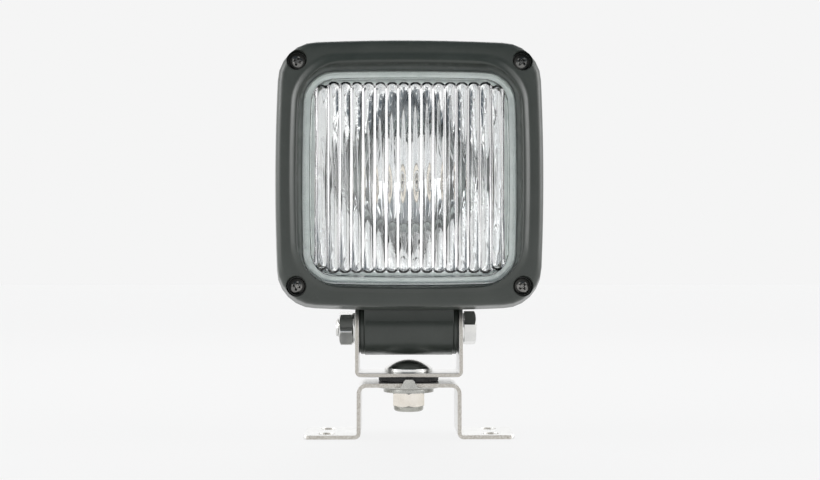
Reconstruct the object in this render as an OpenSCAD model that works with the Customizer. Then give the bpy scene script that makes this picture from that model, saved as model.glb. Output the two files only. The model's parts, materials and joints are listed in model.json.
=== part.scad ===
// Square fog lamp on a swivelling U-bracket and a hat-shaped foot bracket.
// Millimetres. +Z up, the lamp shines towards -Y.
// Origin: centre of the four foot holes, on the underside of the feet.

/* [Head] */
// Half width of the housing flange, without the side bulge
head_half = 65.8; // [50:0.5:80]
// Outward bulge of each side of the head
side_bulge = 2; // [0:0.5:4]
// Height of the lamp centre above the feet
head_z = 132.8; // [120:0.5:150]
// Corner radius of the flange
corner_r = 17; // [10:0.5:25]
// Distance of each bezel screw from the lamp centre, both ways
screw_off = 55.5; // [45:0.1:60]
// Half width of the lens opening
open_half = 52.3; // [40:0.1:60]
// How far the lens centre sits below the head centre
lens_drop = 1.5; // [0:0.1:4]
// Number of lens flutes
flutes = 16; // [8:1:24]
// Flute pitch
flute_pitch = 5.78; // [3:0.01:9]

/* [Foot bracket] */
// Sheet thickness of both brackets
sheet = 2; // [1.5:0.1:4]
// Length over the feet
foot_len = 107; // [90:1:140]
// Depth of the foot bracket strip
foot_depth = 35; // [25:1:50]
// Height of the top plate
plate_z = 28; // [18:1:40]
// Width over the legs
leg_w = 53; // [40:1:70]
// Foot hole spacing along the feet
hole_dx = 84; // [70:1:110]
// Foot hole spacing across the feet
hole_dy = 20; // [14:1:30]
// Foot hole radius
hole_r = 4.25; // [3:0.05:6]

/* [Swivel bracket] */
// Width over the fork legs
yoke_w = 55; // [45:1:70]
// Depth of the fork strip
yoke_depth = 30; // [20:1:40]
// Height of the tilt axis
pivot_z = 55.5; // [45:0.5:70]
// Rubber pad thickness
pad_t = 3; // [2:0.5:5]

/* [Fasteners] */
// Bolt radius of the two main bolts
bolt_r = 5; // [4:0.5:6]
// Width across flats of their nuts
nut_af = 16; // [13:1:19]
// Height of the carriage bolt dome
dome_h = 6.4; // [3:0.1:8]
// Radius of the carriage bolt dome
dome_r = 12.5; // [10:0.1:16]
// Underside of the lock nut collar
nut_z = 12.5; // [8:0.1:16]

/* [Hidden] */
$fn = 64;
run = 0.06;
dome_rim = 1.8;
cap_h = dome_h - dome_rim;
cap_r = (dome_r * dome_r + cap_h * cap_h) / (2 * cap_h);
bolt_end = nut_z + 0.4;
collar_h = 2.5;
collar_r = 7.7;
nut_h = 7.5;
washer_z = nut_z + collar_h + nut_h;
washer_t = 2;
disc_t = plate_z - sheet - washer_z - washer_t;
barrel_r = 14;
barrel_half = 23;
head_x = 28.6;
head_t = 6.1;
thread_end = 37.6;
pivot_nut_x = 28.62;
pivot_nut_h = 7.2;
bush_x = 24.6;
yoke_z = plate_z + pad_t;
base_top = yoke_z + sheet;
lens_z = head_z - lens_drop;
gland_z = head_z - 16.3;
vent_z = head_z - 12.3;
bulb_r = 5.6;
bulb_tip_y = 8;
bulb_end_y = 27.5;
flange_end_y = 31.5;
clip_x = 17;
clip_y = 32.8;
clip_wire_r = 0.8;
clip_half = 7;
cable_r = 3.25;
vent_x = -20;
lead_y = 39.9;
lead_r = 1.1;
ANG = [0, 10, 20, 28, 33, 36, 39, 42, 45, 48, 51, 54, 57, 62, 70, 80];
NA = 64;

// Distance from the centre to a rounded square of half width h and corner radius r, at angle a.
function ray(h, r, a) =
  let (c = abs(cos(a)), s = abs(sin(a)), k = h - r, t = h / max(c, s))
  (min(c, s) * t <= k) ? t : let (d = (c + s) * k) d + sqrt(max(0, d * d - 2 * k * k + r * r));
function soft(h, r, b, a) =
  let (t = ray(h, r, a), x = t * cos(a), z = t * sin(a), u = x / h, v = z / h)
  [x * (1 + b / h * (1 - v * v)), z * (1 + b / h * (1 - u * u))];
function ang(i) = ANG[i % 16] + 90 * floor(i / 16);
function ring(q, zc) = [for (i = [0:NA - 1]) let (p = soft(q[1], q[2], q[3], ang(i)))
  [p[0], q[0], p[1] + zc - (len(q) > 4 ? q[4] : 0)]];
function flat(l) = [for (a = l) for (b = a) b];
function quads(a, b) = flat([for (i = [0:NA - 1]) let (j = (i + 1) % NA)
  [[a * NA + i, b * NA + i, b * NA + j], [a * NA + i, b * NA + j, a * NA + j]]]);

// Skin through rings [y, half, radius, bulge, drop]; the first and last rings are closed flat.
module skin(rs, zc = head_z) {
  n = len(rs);
  polyhedron(points = flat([for (q = rs) ring(q, zc)]),
    faces = concat([[for (i = [0:NA - 1]) i]],
      flat([for (k = [0:n - 2]) quads(k, k + 1)]),
      [[for (i = [NA - 1:-1:0]) (n - 1) * NA + i]]), convexity = 8);
}

// Closed frame: the last ring joins the first.
module frame_skin(rs, zc = head_z) {
  n = len(rs);
  polyhedron(points = flat([for (q = rs) ring(q, zc)]),
    faces = flat([for (k = [0:n - 1]) quads(k, (k + 1) % n)]), convexity = 8);
}

module along_x(x0, x1, r) {
  translate([x0, 0, pivot_z])
    rotate([0, 90, 0])
      cylinder(h = x1 - x0, r = r);
}

module along_y(x, y0, y1, z, r) {
  translate([x, y1, z])
    rotate([90, 0, 0])
      cylinder(h = y1 - y0, r = r);
}

// Quarter of a bent sheet, outer radius r, turned to the quadrant a.
module bend(cx, cz, r, a) {
  translate([cx, cz])
    rotate(a)
      difference() {
        intersection() {
          circle(r = r);
          square([r, r]);
        }
        circle(r = r - sheet);
      }
}

module half_hat() {
  w = leg_w / 2;
  translate([-0.01, plate_z - sheet])
    square([w - 5 + 0.01, sheet]);
  bend(w - 5, plate_z - 5, 5, 0);
  translate([w - sheet, 3])
    square([sheet, plate_z - 8]);
  bend(w + 1, 3, 3, 180);
  translate([w + 1, 0])
    square([foot_len / 2 - w - 1, sheet]);
}

module round_rect(a, b, r) {
  square([a, b - 2 * r], center = true);
  square([a - 2 * r, b], center = true);
  for (i = [-1, 1])
    for (j = [-1, 1])
      translate([i * (a / 2 - r), j * (b / 2 - r)])
        circle(r = r);
}

module hat_bracket() {
  color([0.62, 0.61, 0.58])
    difference() {
      intersection() {
        translate([0, foot_depth / 2, 0])
          rotate([90, 0, 0])
            linear_extrude(height = foot_depth)
              union() {
                half_hat();
                mirror([1, 0]) half_hat();
              }
        translate([0, 0, -1])
          linear_extrude(height = plate_z + 2)
            round_rect(foot_len, foot_depth, 3);
      }
      for (i = [-1, 1])
        for (j = [-1, 1])
          translate([i * hole_dx / 2, j * hole_dy / 2, -1])
            cylinder(h = 6, r = hole_r);
      translate([0, 0, plate_z - 5])
        cylinder(h = 8, r = bolt_r + run);
    }
}

// Shallow dish under the plate, hooked over its front and rear edges by two bent-up tabs.
module locking_disc() {
  zt = plate_z - sheet;
  color([0.7, 0.69, 0.66])
    difference() {
      union() {
        translate([0, 0, zt - 0.5])
          cylinder(h = 0.5, r = 19);
        translate([0, 0, zt - disc_t])
          cylinder(h = disc_t - 0.5, r1 = 14.5, r2 = 19);
        for (s = [0, 180])
          rotate(s)
            translate([0, -foot_depth / 2 - 0.1, 0])
              rotate([90, 0, 0])
                linear_extrude(height = 1.4)
                  polygon([[-5, zt - 0.6], [5, zt - 0.6], [4.2, zt + 0.8], [3.1, zt + 2.1], [2.7, zt + 3.3],
                    [1.8, zt + 4.1], [-1.8, zt + 4.1], [-2.7, zt + 3.3], [-3.1, zt + 2.1], [-4.2, zt + 0.8]]);
      }
      translate([0, 0, zt - 3])
        cylinder(h = 5, r = bolt_r + run);
    }
}

module half_yoke() {
  w = yoke_w / 2;
  translate([-0.01, yoke_z])
    square([w - 3 + 0.01, sheet]);
  bend(w - 3, yoke_z + 3, 3, 270);
  translate([w - sheet, yoke_z + 3])
    square([sheet, pivot_z + 20 - yoke_z]);
}

module yoke() {
  r = yoke_depth / 2;
  color([0.66, 0.65, 0.62])
    difference() {
      intersection() {
        translate([0, r, 0])
          rotate([90, 0, 0])
            linear_extrude(height = yoke_depth)
              union() {
                half_yoke();
                mirror([1, 0]) half_yoke();
              }
        union() {
          along_x(-40, 40, r);
          translate([-40, -r, yoke_z - 1])
            cube([80, yoke_depth, pivot_z - yoke_z + 1]);
        }
      }
      along_x(-40, 40, bolt_r + run);
      translate([-5.1, -5.1, yoke_z - 1])
        cube([10.2, 10.2, sheet + 2]);
    }
}

module friction_pad() {
  color([0.05, 0.05, 0.05])
    translate([0, 0, plate_z])
      difference() {
        union() {
          cylinder(h = pad_t, r = 15.1);
          translate([0, 0, 0.5])
            cylinder(h = pad_t - 1, r = 15.5);
        }
        translate([0, 0, -1])
          cylinder(h = pad_t + 2, r = bolt_r + run);
      }
}

module carriage_bolt() {
  color([0.75, 0.74, 0.72])
    union() {
      translate([0, 0, base_top])
        cylinder(h = dome_rim, r = dome_r);
      intersection() {
        translate([0, 0, base_top + dome_h - cap_r])
          sphere(r = cap_r);
        translate([0, 0, base_top + dome_rim])
          cylinder(h = 10, r = dome_r);
      }
      translate([-5, -5, yoke_z])
        cube([10, 10, sheet]);
      translate([0, 0, bolt_end])
        cylinder(h = yoke_z - bolt_end, r = bolt_r);
    }
}

module flat_washer() {
  color([0.7, 0.7, 0.68])
    translate([0, 0, washer_z])
      difference() {
        cylinder(h = washer_t, r = 13);
        translate([0, 0, -1])
          cylinder(h = 4, r = bolt_r + 0.05);
      }
}

module lock_nut() {
  color([0.72, 0.7, 0.66])
    difference() {
      union() {
        translate([0, 0, nut_z + collar_h])
          intersection() {
            rotate(30)
              cylinder(h = nut_h, r = nut_af / sqrt(3), $fn = 6);
            cylinder(h = nut_h, r1 = 8.6, r2 = nut_af / sqrt(3));
          }
        translate([0, 0, nut_z])
          cylinder(h = collar_h, r = collar_r);
      }
      translate([0, 0, nut_z - 0.5])
        cylinder(h = 12, r = bolt_r + 0.03);
      translate([0, 0, bolt_end])
        cylinder(h = 1.9, r = 6.6);
    }
}

module lock_nut_insert() {
  color([0.2, 0.3, 0.65])
    translate([0, 0, bolt_end + 0.05])
      difference() {
        cylinder(h = 1.8, r = 6.55);
        translate([0, 0, -1])
          cylinder(h = 4, r = bolt_r + 0.03);
      }
}

module pivot_bolt() {
  color([0.72, 0.71, 0.68])
    union() {
      along_x(-thread_end, head_x, bolt_r);
      translate([head_x, 0, pivot_z])
        rotate([0, 90, 0])
          rotate(17)
            cylinder(h = head_t, r = nut_af / sqrt(3), $fn = 6);
    }
}

module pivot_nut() {
  color([0.7, 0.69, 0.66])
    difference() {
      translate([-pivot_nut_x - pivot_nut_h, 0, pivot_z])
        rotate([0, 90, 0])
          rotate(41)
            cylinder(h = pivot_nut_h, r = nut_af / sqrt(3), $fn = 6);
      along_x(-40, -25, bolt_r + 0.03);
    }
}

module pivot_washer(s) {
  color([0.7, 0.7, 0.68])
    mirror([s, 0, 0])
      difference() {
        along_x(yoke_w / 2 + 0.02, head_x - 0.02, 8.3);
        along_x(20, 40, bolt_r + 0.05);
      }
}

module washer_left() {
  pivot_washer(1);
}

module washer_right() {
  pivot_washer(0);
}

module pivot_sleeve() {
  color([0.6, 0.6, 0.6])
    difference() {
      along_x(-25.4, 25.4, 7);
      along_x(-30, 30, bolt_r + run);
    }
}

module bush(s) {
  color([0.08, 0.09, 0.08])
    mirror([s, 0, 0])
      difference() {
        union() {
          along_x(barrel_half, bush_x, barrel_r - 0.4);
          along_x(bush_x, 25.4, barrel_r - 1.1);
        }
        along_x(20, 30, 7.03);
      }
}

module bush_left() {
  bush(1);
}

module bush_right() {
  bush(0);
}

module at_screws() {
  for (i = [-1, 1])
    for (j = [-1, 1])
      translate([i * screw_off, 0, head_z + j * screw_off])
        children();
}

module housing() {
  color([0.22, 0.24, 0.23])
    difference() {
      union() {
        skin([[45.5, 30, 20, 0], [43.6, 34.5, 22, 0], [38, 40.5, 23, 0.5], [26.5, 48, 24, 1],
          [11, 54.5, 24, 1], [-4, 57.6, 24, 1], [-11, 58.3, 24, 1], [-16, 59, 24, 1]]);
        skin([[-13.6, head_half - 2.4, corner_r, side_bulge], [-14.4, head_half - 0.8, corner_r, side_bulge],
          [-16.5, head_half, corner_r, side_bulge], [-19, head_half - 0.1, corner_r, side_bulge],
          [-23, head_half - 0.8, corner_r, side_bulge]]);
        at_screws()
          along_y(0, -14.5, -6.5, 0, 6.4);
        along_x(-barrel_half, barrel_half, barrel_r);
        translate([-22.8, 0, 0])
          rotate([90, 0, 90])
            linear_extrude(height = 45.6)
              polygon([[-13.4, pivot_z], [13.4, pivot_z], [13.4, head_z - 53.3], [-13.4, head_z - 56.9]]);
      }
      skin([[42.5, 28, 20, 0], [40.5, 32, 22, 0], [36, 38, 23, 0.5], [25, 45, 24, 1], [10, 51.5, 26, 1],
        [-5, 54, 27, 1, 0.6], [-25, 53.8, 23, 1, lens_drop]]);
      skin([[-21.5, 56.8, 24, 1], [-25, 56.8, 24, 1]], lens_z);
      at_screws() {
        along_y(0, -24, -13.9, 0, 3.65);
        along_y(0, -15, -9, 0, 2.75);
      }
      along_x(-30, 30, 7.03);
      along_y(0, 40, 50, gland_z, 6.05);
      along_y(vent_x, 40, 50, vent_z, 3.05);
    }
}

module bezel() {
  b = side_bulge;
  d = lens_drop;
  o = open_half;
  color([0.24, 0.26, 0.25])
    difference() {
      frame_skin([[-24, 57.5, 24.5, 1, d], [-24, 65.2, 17, b], [-30, 64.6, 17, b], [-37.5, 63.7, 17, b],
        [-39.6, 63, 16.6, b], [-40.8, 61.5, 16, b], [-41.1, 60, 17.4, b], [-41.3, 57.6, 20.5, b, d / 6],
        [-42.2, 56.7, 21.2, b, d / 4], [-43, 55.7, 21, 1.9, d / 3], [-42.9, 54.9, 20.4, 1.7, d / 2],
        [-41.4, 54, 19.4, 1.5, d * 0.65], [-38, 53.3, 17.8, 1.3, d * 0.8], [-34, 52.9, 15.8, 1.1, d],
        [-31.4, 52.5, 14.4, 1, d], [-29.9, o, 14, 1, d], [-29.9, 57.5, 24.5, 1, d]]);
      at_screws() {
        along_y(0, -50, -33, 0, 5);
        along_y(0, -50, -20, 0, 2.7);
      }
    }
}

module bezel_gasket() {
  color([0.04, 0.04, 0.04])
    difference() {
      frame_skin([[-23, 58.4, 25.4, 1, lens_drop], [-23, 64, 16, 2], [-24, 64, 16, 2],
        [-24, 58.4, 25.4, 1, lens_drop]]);
      at_screws()
        along_y(0, -30, -20, 0, 3.7);
    }
}

module lens() {
  color([0.85, 0.9, 0.92, 0.4])
    union() {
      frame_skin([[-27.4, 49.6, 12, 1], [-27.4, 57, 24, 1], [-29.9, 57, 24, 1], [-29.9, 51.9, 13.8, 1],
        [-31.6, 51.4, 13.3, 1], [-32.2, 49.6, 12, 1]], lens_z);
      skin([[-30, 49.6, 12, 1], [-32.2, 49.6, 12, 1], [-32.8, 47.6, 10, 1], [-33.4, 47.2, 9.6, 1]], lens_z);
      intersection() {
        translate([0, -30, lens_z - 46.8])
          linear_extrude(height = 94)
            intersection() {
              for (i = [0:flutes - 1])
                translate([(i - (flutes - 1) / 2) * flute_pitch, -1.6])
                  circle(r = 3.1, $fn = 32);
              translate([-60, -0.3])
                square([120, 4]);
            }
        skin([[-28, 46.4, 6, 0.4], [-30.5, 46.4, 6, 0.4]], lens_z);
      }
    }
}

module lens_seal() {
  color([0.4, 0.43, 0.42])
    frame_skin([[-22.9, 46.4, 8, 0.4], [-22.9, 56.6, 23.8, 1], [-27.4, 56.6, 23.8, 1], [-27.4, 46.4, 8, 0.4]],
      lens_z);
}

// Paraboloid bowl with near-flat side walls: mirror face, neck for the bulb, then the back face.
module reflector() {
  color([0.9, 0.9, 0.9])
    frame_skin([[-21.6, 53.2, 24.4, 1], [-21.6, 56.6, 23.8, 1], [-22.9, 56.6, 23.8, 1], [-22.9, 50.4, 16.6, 1],
      [-16, 50.1, 23, 0.8], [-9, 49.9, 33.4, 0.5], [-3, 49.6, 44, 0.2],
      [0.5, 48.9, 48.8, 0], [7, 42.8, 42.7, 0], [13, 36.2, 36.1, 0],
      [18.5, 28.8, 28.7, 0], [23, 20.9, 20.8, 0], [25.9, 13.5, 13.4, 0], [26.8, 10.2, 10.1, 0],
      [30.2, 10.2, 10.1, 0], [30.2, 13, 12.9, 0], [28, 17, 16.9, 0], [25, 23.2, 23.1, 0],
      [20.4, 31, 30.9, 0], [14.6, 38.6, 38.5, 0], [8.2, 45, 44.9, 0], [1, 50.8, 50.7, 0],
      [-3, 51.5, 46.2, 0.2], [-9, 51.9, 35.9, 0.5], [-16, 52.4, 25.5, 0.8]], lens_z);
}

module bulb_base() {
  color([0.7, 0.68, 0.6])
    union() {
      along_y(0, 30.3, flange_end_y, lens_z, 11);
      along_y(0, bulb_end_y, 30.3, lens_z, 9.6);
      along_y(0, flange_end_y, 35, lens_z, 5.4);
    }
}

module bulb_glass() {
  color([0.9, 0.95, 1, 0.35])
    difference() {
      union() {
        along_y(0, bulb_tip_y, bulb_end_y, lens_z, bulb_r);
        translate([0, bulb_tip_y, lens_z])
          sphere(r = bulb_r);
      }
      along_y(0, bulb_tip_y, bulb_end_y + 0.5, lens_z, bulb_r - 0.9);
      translate([0, bulb_tip_y, lens_z])
        sphere(r = bulb_r - 0.9);
    }
}

module bulb_filament() {
  color([0.4, 0.4, 0.42])
    union() {
      translate([-3, 14, lens_z])
        rotate([0, 90, 0])
          cylinder(h = 6, r = 0.7);
      for (i = [-1, 1])
        along_y(i * 2.6, 14, bulb_end_y, lens_z, 0.35);
    }
}

module bulb_contact() {
  color([0.6, 0.6, 0.6])
    along_y(0, 35, 37, lens_z, 2.2);
}

// Post behind the reflector that carries the clip hinge.
module clip_post() {
  color([0.6, 0.6, 0.58])
    difference() {
      translate([0, 0, lens_z - 4])
        linear_extrude(height = 8)
          polygon([[clip_x - 2, 29.75], [clip_x, 28.45], [clip_x + 2, 27.5], [clip_x + 2, clip_y + 2],
            [clip_x - 2, clip_y + 2]]);
      translate([clip_x, clip_y, lens_z - 6])
        cylinder(h = 12, r = clip_wire_r + run);
    }
}

// Bent wire loop that presses the bulb flange down and swings on the post.
module bulb_clip() {
  color([0.75, 0.75, 0.73])
    union() {
      for (i = [clip_x, -14])
        translate([i, clip_y, lens_z - clip_half])
          cylinder(h = 2 * clip_half, r = clip_wire_r);
      for (j = [-1, 1])
        translate([clip_x, clip_y, lens_z + j * clip_half])
          rotate([0, -90, 0])
            cylinder(h = clip_x + 14, r = clip_wire_r);
      for (i = [clip_x, -14])
        for (j = [-1, 1])
          translate([i, clip_y, lens_z + j * clip_half])
            sphere(r = clip_wire_r);
    }
}

module bezel_screws() {
  color([0.55, 0.54, 0.5])
    at_screws()
      difference() {
        union() {
          along_y(0, -35.6, -33, 0, 4.1);
          along_y(0, -33, -14.5, 0, 2.5);
        }
        for (a = [20, 110])
          rotate([0, a, 0])
            translate([-2.3, -36, -0.55])
              cube([4.6, 2, 1.1]);
      }
}

module threaded_inserts() {
  color([0.75, 0.6, 0.3])
    at_screws()
      difference() {
        along_y(0, -23, -14, 0, 3.6);
        along_y(0, -24, -13, 0, 2.53);
      }
}

module gland_body() {
  color([0.05, 0.05, 0.05])
    difference() {
      union() {
        along_y(0, 41.5, 45.5, gland_z, 6);
        translate([0, 49.5, gland_z])
          rotate([90, 0, 0])
            cylinder(h = 4, r = 9.2, $fn = 6);
        along_y(0, 49.5, 53.5, gland_z, 6);
      }
      along_y(0, 40, 60, gland_z, cable_r);
    }
}

module gland_nut() {
  color([0.05, 0.05, 0.05])
    difference() {
      union() {
        along_y(0, 49.7, 56, gland_z, 8);
        along_y(0, 56, 58.5, gland_z, 6.6);
      }
      along_y(0, 49, 53.6, gland_z, 6.05);
      along_y(0, 53, 55.7, gland_z, 5.4);
      along_y(0, 49, 60, gland_z, cable_r);
    }
}

module gland_seal() {
  color([0.03, 0.03, 0.03])
    difference() {
      along_y(0, 53.6, 55.6, gland_z, 5.35);
      along_y(0, 50, 60, gland_z, cable_r);
    }
}

module breather_vent() {
  color([0.06, 0.06, 0.06])
    union() {
      along_y(vent_x, 42.5, 45.5, vent_z, 3);
      along_y(vent_x, 45.5, 47.6, vent_z, 5);
    }
}

// A lead from a terminal at height z, back to the bend, then down to the height z_end.
module lead(x, y_start, z, z_end) {
  along_y(x, y_start, lead_y, z, lead_r);
  translate([x, lead_y, z])
    sphere(r = lead_r);
  translate([x, lead_y, z_end])
    cylinder(h = z - z_end, r = lead_r);
}

module feed_lead() {
  color([0.6, 0.1, 0.08])
    lead(0, 37, lens_z, vent_z);
}

module earth_lead() {
  color([0.35, 0.22, 0.1])
    lead(6, flange_end_y, lens_z - 4.5, lens_z - 10);
}

hat_bracket();
locking_disc();
yoke();
friction_pad();
carriage_bolt();
flat_washer();
lock_nut();
lock_nut_insert();
pivot_bolt();
pivot_nut();
washer_left();
washer_right();
housing();
pivot_sleeve();
bush_left();
bush_right();
bezel();
bezel_gasket();
lens();
lens_seal();
reflector();
bulb_base();
bulb_glass();
bulb_filament();
bulb_contact();
clip_post();
bulb_clip();
bezel_screws();
threaded_inserts();
gland_body();
gland_nut();
gland_seal();
breather_vent();
feed_lead();
earth_lead();
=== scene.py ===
"""Looks of the square fog lamp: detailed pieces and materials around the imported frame."""
import json
import math

import bmesh
import bpy
from mathutils import Matrix, Vector, noise


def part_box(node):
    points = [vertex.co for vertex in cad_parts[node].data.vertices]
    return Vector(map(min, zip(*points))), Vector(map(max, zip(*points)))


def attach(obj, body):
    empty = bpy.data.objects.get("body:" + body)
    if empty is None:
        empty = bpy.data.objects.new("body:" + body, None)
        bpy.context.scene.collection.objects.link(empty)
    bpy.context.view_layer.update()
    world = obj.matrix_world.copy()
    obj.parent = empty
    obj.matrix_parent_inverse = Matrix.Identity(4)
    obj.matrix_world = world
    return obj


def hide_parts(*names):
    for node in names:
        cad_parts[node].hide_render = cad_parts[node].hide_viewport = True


MM = 0.001
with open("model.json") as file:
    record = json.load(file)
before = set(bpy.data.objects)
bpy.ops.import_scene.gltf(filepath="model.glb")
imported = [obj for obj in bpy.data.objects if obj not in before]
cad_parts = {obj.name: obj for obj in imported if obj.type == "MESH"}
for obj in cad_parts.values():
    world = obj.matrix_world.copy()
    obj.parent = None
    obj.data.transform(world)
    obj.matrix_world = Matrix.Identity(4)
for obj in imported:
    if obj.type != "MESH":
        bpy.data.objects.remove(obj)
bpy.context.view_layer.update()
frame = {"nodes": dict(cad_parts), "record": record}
nodes = frame["nodes"]

# Driving sizes in millimetres: heights are read back from the frame, the rest repeat the part's.

def node_box(name):
    """Low and high corner of a CAD node, in millimetres."""
    low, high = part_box(name)
    return Vector(low) / MM, Vector(high) / MM


bezel_low, bezel_high = node_box("bezel")
HEAD_Z = (bezel_low.z + bezel_high.z) / 2
HEAD_HALF = 65.8
CORNER_R = 17.0
BULGE = 2.0
LENS_DROP = 1.5
LENS_Z = HEAD_Z - LENS_DROP
GLAND_Z = sum(v.z for v in node_box("gland_nut")) / 2
VENT_Z = sum(v.z for v in node_box("breather_vent")) / 2
SCREW_OFF = 55.5
OPEN_HALF = 52.3
PIVOT_Z = sum(v.z for v in node_box("pivot_sleeve")) / 2
FLUTES = 16
FLUTE_PITCH = 5.78
BOLT_R = 5.0
NUT_AF = 16.0
THREAD_PITCH = 1.5
SHEET = 2.0
FOCAL = 21.8
PARABOLA_TOP = 28.0
SCREW_SEAT_Y = -33.0
ROUND_STEPS = 64


# ---------------------------------------------------------------- materials

def new_material(name):
    mat = bpy.data.materials.new(name)
    mat.use_nodes = True
    return mat, mat.node_tree, mat.node_tree.nodes["Principled BSDF"]


def add(tree, kind, **settings):
    n = tree.nodes.new(kind)
    for key, value in settings.items():
        setattr(n, key, value)
    return n


def coords(tree, output="Object", scale=(1, 1, 1)):
    tex = add(tree, "ShaderNodeTexCoord")
    mapping = add(tree, "ShaderNodeMapping")
    mapping.inputs["Scale"].default_value = scale
    tree.links.new(tex.outputs[output], mapping.inputs["Vector"])
    return mapping.outputs["Vector"]


def noise_tex(tree, scale, detail=3.0, rough=0.55, stretch=(1, 1, 1)):
    n = add(tree, "ShaderNodeTexNoise")
    n.inputs["Scale"].default_value = scale
    n.inputs["Detail"].default_value = detail
    n.inputs["Roughness"].default_value = rough
    tree.links.new(coords(tree, scale=stretch), n.inputs["Vector"])
    return n.outputs["Fac"]


def ramp(tree, value, stops):
    r = add(tree, "ShaderNodeValToRGB")
    r.color_ramp.elements[0].position = stops[0][0]
    r.color_ramp.elements[1].position = stops[-1][0]
    for pos, _ in stops[1:-1]:
        r.color_ramp.elements.new(pos)
    for element, (_, colour) in zip(r.color_ramp.elements, stops):
        rgb = (colour,) * 3 if isinstance(colour, (int, float)) else tuple(colour)
        element.color = rgb + (1,)
    tree.links.new(value, r.inputs["Fac"])
    return r.outputs["Color"]


def mottle(tree, socket, scale, detail, low, high):
    """Drives a socket with a cloudy noise between two values or colours."""
    tree.links.new(ramp(tree, noise_tex(tree, scale, detail), [(0.3, low), (0.7, high)]), socket)


def mix_colour(tree, factor, a, b):
    m = add(tree, "ShaderNodeMix", data_type="RGBA")
    tree.links.new(factor, m.inputs["Factor"])
    for socket, value in ((m.inputs["A"], a), (m.inputs["B"], b)):
        if isinstance(value, tuple):
            socket.default_value = value + (1,)
        else:
            tree.links.new(value, socket)
    return m.outputs["Result"]


def bump(tree, shader, height, strength, distance):
    b = add(tree, "ShaderNodeBump")
    b.inputs["Strength"].default_value = strength
    b.inputs["Distance"].default_value = distance
    tree.links.new(height, b.inputs["Height"])
    tree.links.new(b.outputs["Normal"], shader.inputs["Normal"])


def powder_coat():
    """Matt dark grey-green powder coat: fine orange peel and faint pale flecks."""
    mat, tree, shader = new_material("head_paint")
    shade = ramp(tree, noise_tex(tree, 60, 4), [(0.3, (0.024, 0.030, 0.025)), (0.7, (0.034, 0.041, 0.035))])
    flecks = ramp(tree, noise_tex(tree, 2600, 1), [(0.66, 0.0), (0.76, 0.7)])
    colour = mix_colour(tree, flecks, shade, (0.07, 0.082, 0.076))
    tree.links.new(colour, shader.inputs["Base Color"])
    mottle(tree, shader.inputs["Roughness"], 240, 3, 0.33, 0.43)
    shader.inputs["Specular IOR Level"].default_value = 0.5
    shader.inputs["Coat Weight"].default_value = 0.3
    shader.inputs["Coat Roughness"].default_value = 0.28
    bump(tree, shader, noise_tex(tree, 1900, 2, 0.5), 0.35, 0.00006)
    return mat


def plated_sheet(name, grain=(1, 1, 1)):
    """Bright plated sheet with a fine rolled grain and speckled, browner cut edges facing Y."""
    mat, tree, shader = new_material(name)
    shader.inputs["Metallic"].default_value = 1.0
    face = ramp(tree, noise_tex(tree, 90, 4), [(0.3, (0.77, 0.77, 0.76)), (0.7, (0.84, 0.84, 0.83))])
    speck = ramp(tree, noise_tex(tree, 2200, 2, 0.6),
                 [(0.30, (0.44, 0.40, 0.35)), (0.46, (0.60, 0.57, 0.52)), (0.64, (0.72, 0.70, 0.66))])
    normal = add(tree, "ShaderNodeSeparateXYZ")
    tree.links.new(coords(tree, "Normal"), normal.inputs[0])
    facing = add(tree, "ShaderNodeMath", operation="ABSOLUTE")
    tree.links.new(normal.outputs["Y"], facing.inputs[0])
    edge = ramp(tree, facing.outputs[0], [(0.80, 0.0), (0.95, 1.0)])
    tree.links.new(mix_colour(tree, edge, face, speck), shader.inputs["Base Color"])
    streaks = noise_tex(tree, 420, 3, 0.5, grain)
    rough = ramp(tree, streaks, [(0.25, 0.27), (0.75, 0.34)])
    edge_rough = ramp(tree, noise_tex(tree, 1500, 2), [(0.3, 0.42), (0.7, 0.62)])
    tree.links.new(mix_colour(tree, edge, rough, edge_rough), shader.inputs["Roughness"])
    bump(tree, shader, streaks, 0.03, 0.00002)
    return mat


def plated_part(name, low, high, rough=(0.16, 0.30)):
    """Turned or forged plated steel with cloudy plating and fine marks."""
    mat, tree, shader = new_material(name)
    shader.inputs["Metallic"].default_value = 1.0
    cloud = noise_tex(tree, 160, 3, 0.5)
    tree.links.new(ramp(tree, cloud, [(0.3, low), (0.7, high)]), shader.inputs["Base Color"])
    mottle(tree, shader.inputs["Roughness"], 1200, 3, rough[0], rough[1])
    bump(tree, shader, noise_tex(tree, 2200, 2), 0.04, 0.00002)
    return mat


def moulded(name, low, high, rough, peel=0.2, grain=1400):
    """Moulded rubber, nylon or plastic with a fine mould texture."""
    mat, tree, shader = new_material(name)
    mottle(tree, shader.inputs["Base Color"], 180, 3, low, high)
    mottle(tree, shader.inputs["Roughness"], 500, 3, rough[0], rough[1])
    bump(tree, shader, noise_tex(tree, grain, 2), peel, 0.00005)
    return mat


def clear_glass(name, tint, rough, ripple=0.0):
    """Pressed glass: a slight tint in the colour, and a faint ripple in the surface."""
    mat, tree, shader = new_material(name)
    shader.inputs["Transmission Weight"].default_value = 1.0
    shader.inputs["IOR"].default_value = 1.5
    shade = ramp(tree, noise_tex(tree, 40, 2), [(0.3, tint), (0.7, tuple(min(1, c * 1.02) for c in tint))])
    tree.links.new(shade, shader.inputs["Base Color"])
    mottle(tree, shader.inputs["Roughness"], 300, 2, rough, rough * 1.6)
    if ripple:
        bump(tree, shader, noise_tex(tree, 320, 3, 0.6, (1, 1, 0.12)), ripple, 0.00012)
    return mat


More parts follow.
